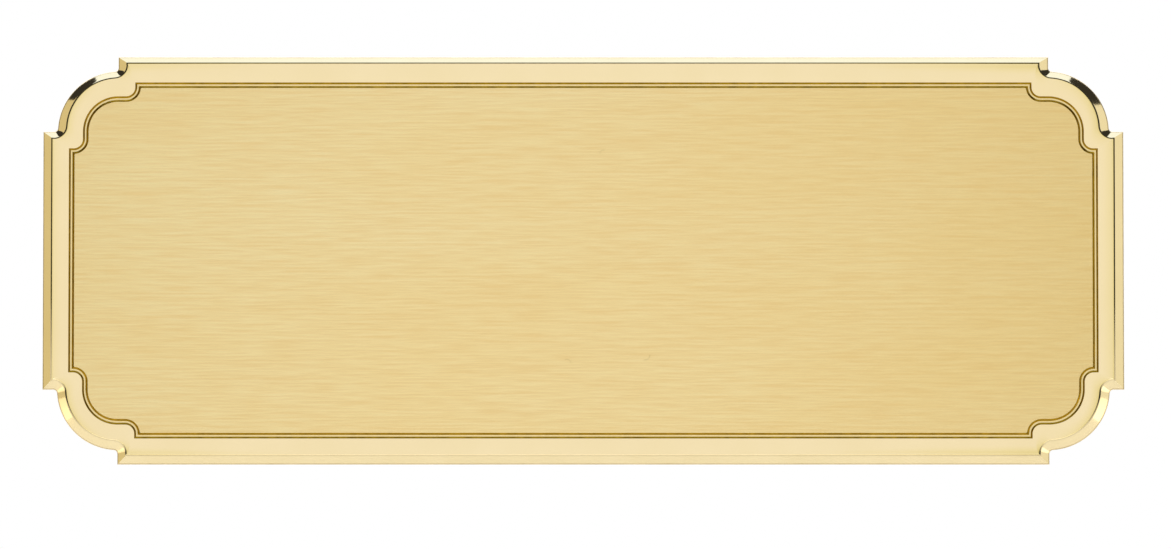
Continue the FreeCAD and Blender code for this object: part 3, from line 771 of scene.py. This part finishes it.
def washer_blank(thickness, outer, hole):
    """A pressed washer: rolled over at the door side, with a sharper edge at the nut side."""
    bm = bmesh.new()
    profile = [
        (hole, 0.1), (hole + 0.12, 0.0), (outer - 0.35, 0.0), (outer - 0.16, 0.05), (outer - 0.04, 0.18),
        (outer, 0.36), (outer, thickness - 0.08), (outer - 0.08, thickness), (hole + 0.1, thickness),
        (hole, thickness - 0.1),
    ]
    rings = [ring_of(bm, circle((0.0, 0.0), radius, WASHER_STEPS), y) for radius, y in profile]
    skin(bm, rings, closed=True)
    bmesh.ops.recalc_face_normals(bm, faces=bm.faces)
    crisp_edges(bm, 30)
    return bm


def nut_blank(low, high, flats, bore):
    """A hexagon nut, chamfered at both ends, with countersunk mouths. Its bore is left for the thread."""
    reach = []
    for i in range(NUT_STEPS):
        angle = 2 * math.pi * (i + NUT_STEPS // 12) / NUT_STEPS
        off_flat = (angle % (math.pi / 3)) - math.pi / 6
        reach.append(flats / 2 / math.cos(off_flat))
    sides = [(x * r, z * r) for (x, z), r in zip(circle((0.0, 0.0), 1.0, NUT_STEPS), reach)]
    face_circle = flats / 2 * 0.955
    fall = math.tan(math.radians(30))

    bm = bmesh.new()

    def ring(radius, y):
        return ring_of(bm, circle((0.0, 0.0), radius, NUT_STEPS), y)

    def corners(end, way):
        return [bm.verts.new((x, end + way * (r - face_circle) * fall, z)) for (x, z), r in zip(sides, reach)]

    skin(bm, [
        ring(bore, low + NUT_MOUTH), ring(bore + NUT_MOUTH, low), ring(face_circle, low),
        corners(low, 1), corners(high, -1),
        ring(face_circle, high), ring(bore + NUT_MOUTH, high), ring(bore, high - NUT_MOUTH),
    ])
    bm.normal_update()
    crisp_edges(bm, 20)
    return bm


def make_fittings():
    tree = fitting_tree(thread_tree())
    studs = grow("shouldered_studs", stud_blank(), tree, {
        "Radius": STUD_THREAD, "Cut": THREAD_DEPTH, "Pitch": THREAD_PITCH, "Start": SHANK_END,
        "Length": STUD_TIP - SHANK_END, "Ease": TIP_EASE, "Points Round": 33, "Points Along": 140,
        "Columns": 3, "Rows": 2, "Column Spacing": stud_centre("top_right")[0],
        "Row Spacing": 2 * stud_centre("top_right")[1], "Scale": MM}, "turned brass")
    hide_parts(*("stud_" + place for place in PLACES))
    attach(studs, "plate")
    for place in PLACES:
        x, z = stud_centre(place)
        low, high = (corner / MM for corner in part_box("washer_" + place))
        washer = washer_blank(high.y - low.y, (high.x - low.x) / 2, WASHER_HOLE)
        bmesh.ops.translate(washer, vec=(x, low.y, z), verts=washer.verts)
        piece = new_piece("washer_piece_" + place, washer, ["pressed brass"])
        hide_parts("washer_" + place)
        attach(piece, "washer_" + place)
        low, high = (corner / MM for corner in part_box("nut_" + place))
        blank = nut_blank(low.y, high.y, high.z - low.z, NUT_BORE)
        nut = grow("nut_piece_" + place, blank, tree, {
            "Radius": NUT_THREAD, "Cut": NUT_THREAD_DEPTH, "Pitch": THREAD_PITCH, "Start": low.y + NUT_MOUTH,
            "Length": high.y - low.y - 2 * NUT_MOUTH, "Ease": 0.0, "Points Round": 37, "Points Along": 41,
            "Centre": (x, 0.0, z), "Inside Thread": True, "Scale": MM}, "pressed brass")
        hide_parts("nut_" + place)
        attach(nut, "nut_" + place)


# ---------------------------------------------------------------- foam strips and their liners

def make_strip(strip):
    """A foam strip cut from the roll, a little soft along its edges."""
    low, high = (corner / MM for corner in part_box("foam_tape_" + strip))
    bm = bmesh.new()
    rings = []
    for inset, y in ((0.25, low.y), (0.0, low.y + 0.25), (0.1, (low.y + high.y) / 2),
                     (0.0, high.y - 0.25), (0.25, high.y)):
        outline = rounded_box((low.x + inset, low.z + inset), (high.x - inset, high.z - inset), 0.8, 4)
        rings.append(ring_of(bm, outline, y))
    skin(bm, rings)
    for end in (rings[0], rings[-1]):
        bm.faces.new(end)
    bmesh.ops.recalc_face_normals(bm, faces=bm.faces)
    crisp_edges(bm, 50)
    piece = new_piece("foam_strip_" + strip, bm, ["foam cells"])
    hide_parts("foam_tape_" + strip)
    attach(piece, "plate")


def make_liner(strip):
    """The red film on a strip. Its free tab lifts a little towards its end."""
    low, high = (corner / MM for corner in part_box("release_liner_" + strip))
    foam_low, foam_high = (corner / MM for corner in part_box("foam_tape_" + strip))
    standing = high.z - low.z > high.x - low.x
    if standing:
        start, tab_from, tab_to = low.z, foam_high.z, high.z
    elif high.x > foam_high.x:
        start, tab_from, tab_to = low.x, foam_high.x, high.x
    else:
        start, tab_from, tab_to = high.x, foam_low.x, low.x
    side_low, side_high = (low.x, high.x) if standing else (low.z, high.z)
    bm = bmesh.new()
    sheets = []
    for face_y in (low.y, high.y):
        rows = []
        for i in range(LINER_ROWS + 1):
            reach = i / LINER_ROWS * (1 + TAB_ROWS)
            if reach < 1:
                along = start + (tab_from - start) * reach
            else:
                along = tab_from + (tab_to - tab_from) * (reach - 1) / TAB_ROWS
            tab_share = max(0.0, (along - tab_from) / (tab_to - tab_from))
            narrowing = max(0.0, (tab_share - TAB_PINCH_FROM) / (1 - TAB_PINCH_FROM))
            width = (side_high - side_low) * (1.0 - TAB_PINCH * narrowing ** 2)
            row = []
            for j in range(LINER_COLUMNS + 1):
                across = j / LINER_COLUMNS
                side = (side_low + side_high) / 2 + (across - 0.5) * width
                ripple = 1.0 + TAB_RIPPLE * math.sin(3.0 * across + len(strip))
                y = face_y + TAB_LIFT * tab_share ** 2 * ripple
                row.append(bm.verts.new((side, y, along) if standing else (along, y, side)))
            rows.append(row)
        sheets.append(rows)
    for rows in sheets:
        for row, further in zip(rows, rows[1:]):
            for j in range(LINER_COLUMNS):
                bm.faces.new((row[j], row[j + 1], further[j + 1], further[j]))
    under, over = sheets
    for i in range(LINER_ROWS):
        for j in (0, -1):
            bm.faces.new((under[i][j], under[i + 1][j], over[i + 1][j], over[i][j]))
    for j in range(LINER_COLUMNS):
        for i in (0, -1):
            bm.faces.new((under[i][j], under[i][j + 1], over[i][j + 1], over[i][j]))
    for face in bm.faces:
        face.smooth = True
    bmesh.ops.recalc_face_normals(bm, faces=bm.faces)
    crisp_edges(bm, 50)
    piece = new_piece("liner_piece_" + strip, bm, ["liner film"])
    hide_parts("release_liner_" + strip)
    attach(piece, "plate")


# ---------------------------------------------------------------- light, floor and camera

def soft_light(name, place, aim, size, brightness, colour=(1.0, 1.0, 1.0), warm_ends=False):
    """A rectangular soft box that shines from place towards aim. Brightness is what a mirror would show."""
    light = bpy.data.lights.new(name, "AREA")
    light.shape = "RECTANGLE"
    light.size, light.size_y = size
    light.energy = brightness * math.pi * size[0] * size[1]
    light.color = colour
    if warm_ends:
        light.use_nodes = True
        tree = light.node_tree
        on_box = node(tree, "ShaderNodeNewGeometry").outputs["Parametric"]
        across = node(tree, "ShaderNodeSeparateXYZ", {0: on_box})
        off_middle = math_node(tree, "ABSOLUTE", math_node(tree, "SUBTRACT", across.outputs[0], 0.5))
        fade = node(tree, "ShaderNodeValToRGB", {0: math_node(tree, "MULTIPLY", off_middle, 2.0)})
        fade.color_ramp.elements[0].position = 0.42
        fade.color_ramp.elements[1].color = (0.70, 0.66, 0.34, 1.0)
        for position, shade in ((0.62, (0.96, 0.95, 0.80, 1.0)), (0.82, (0.86, 0.84, 0.56, 1.0))):
            fade.color_ramp.elements.new(position).color = shade
        fade.color_ramp.elements[0].color = (1.0, 1.0, 1.0, 1.0)
        tree.links.new(fade.outputs[0], tree.nodes["Emission"].inputs[0])
    box = bpy.data.objects.new(name, light)
    box.location = place
    box.rotation_euler = (Vector(aim) - Vector(place)).to_track_quat("-Z", "Y").to_euler()
    box.visible_camera = False
    bpy.context.scene.collection.objects.link(box)


def make_studio():
    """White walls to the eye, dim in front and bright behind in reflections, with soft boxes all round."""
    world = bpy.data.worlds.new("studio")
    bpy.context.scene.world = world
    world.use_nodes = True
    tree = world.node_tree
    tree.nodes.clear()
    seen = node(tree, "ShaderNodeLightPath").outputs["Is Camera Ray"]
    towards = node(tree, "ShaderNodeSeparateXYZ", {0: node(tree, "ShaderNodeTexCoord").outputs["Generated"]})
    room = remap(tree, towards.outputs[1], -0.05, 0.3, 0.035, 1.0)
    dim = node(tree, "ShaderNodeBackground", {"Color": (1.0, 0.98, 0.95, 1.0), "Strength": room}).outputs[0]
    white = node(tree, "ShaderNodeBackground", {"Color": (1.0, 1.0, 1.0, 1.0), "Strength": 1.0}).outputs[0]
    shown = node(tree, "ShaderNodeMixShader", {0: seen, 1: dim, 2: white}).outputs[0]
    node(tree, "ShaderNodeOutputWorld", {"Surface": shown})

    soft_light("front_box", (-0.05, -4.6, 0.36), (0.0, 0.0, 0.0), (2.7, 2.6), 0.93, warm_ends=True)
    soft_light("top_box", (-0.01, -0.5, 1.42), (0.0, -0.1, 0.1), (1.92, 1.15), 1.5, (0.70, 0.80, 1.0))
    soft_light("right_box", (1.72, -0.72, 0.09), (0.35, 0.0, 0.09), (0.75, 1.68), 0.88, (1.0, 0.99, 0.88))
    soft_light("left_box", (-1.72, -0.72, 0.16), (-0.35, 0.0, 0.06), (0.75, 1.92), 0.70, (1.0, 0.9, 0.58))
    soft_light("rear_left_box", (-1.6, 2.0, 1.3), (0.0, 0.0, 0.0), (1.6, 1.4), 2.2)
    soft_light("rear_right_box", (1.8, 2.2, 0.5), (0.0, 0.0, 0.0), (1.2, 1.4), 1.1)
    soft_light("rear_top_box", (0.0, 1.9, 2.6), (0.0, 1.5, -0.76), (5.0, 3.0), 2.0)


def make_floor():
    bm = bmesh.new()
    bmesh.ops.create_grid(bm, x_segments=2, y_segments=2, size=FLOOR_REACH)
    bmesh.ops.translate(bm, vec=(0.0, 0.0, FLOOR_HEIGHT), verts=bm.verts)
    floor = new_piece("floor", bm, [])

    def paint(tree):
        roller = stretched_noise(tree, (60.0, 60.0, 60.0), detail=3.0)
        return {
            "Base Color": blend_colours(tree, roller, (0.80, 0.80, 0.79), (0.84, 0.84, 0.83)),
            "Roughness": 0.8,
            "Emission Color": (1.0, 0.97, 0.88, 1.0),
            "Emission Strength": 0.17,
            "Normal": bump(tree, roller, 0.1, 0.001),
        }

    floor.data.materials.append(finish_material("floor paint", paint))


def make_camera():
    """A long lens, square to the plate and a little below it."""
    data = bpy.data.cameras.new("camera")
    camera = bpy.data.objects.new("camera", data)
    bpy.context.scene.collection.objects.link(camera)
    distance = 8.0
    data.sensor_width = 36.0
    data.lens = 36.0 * distance / 0.8745
    data.clip_end = 100.0
    aim = Vector((0.00157, 0.0, -0.0103))
    rise = math.radians(-4.5)
    camera.location = aim + distance * Vector((0.0, -math.cos(rise), math.sin(rise)))
    camera.rotation_euler = (aim - camera.location).to_track_quat("-Z", "Y").to_euler()
    bpy.context.scene.camera = camera
    bpy.context.scene.view_settings.view_transform = "Standard"


plate = make_plate()
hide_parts("face_plate")
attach(plate, "plate")
make_fittings()
for strip in STRIPS:
    make_strip(strip)
    make_liner(strip)
make_studio()
make_floor()
make_camera()
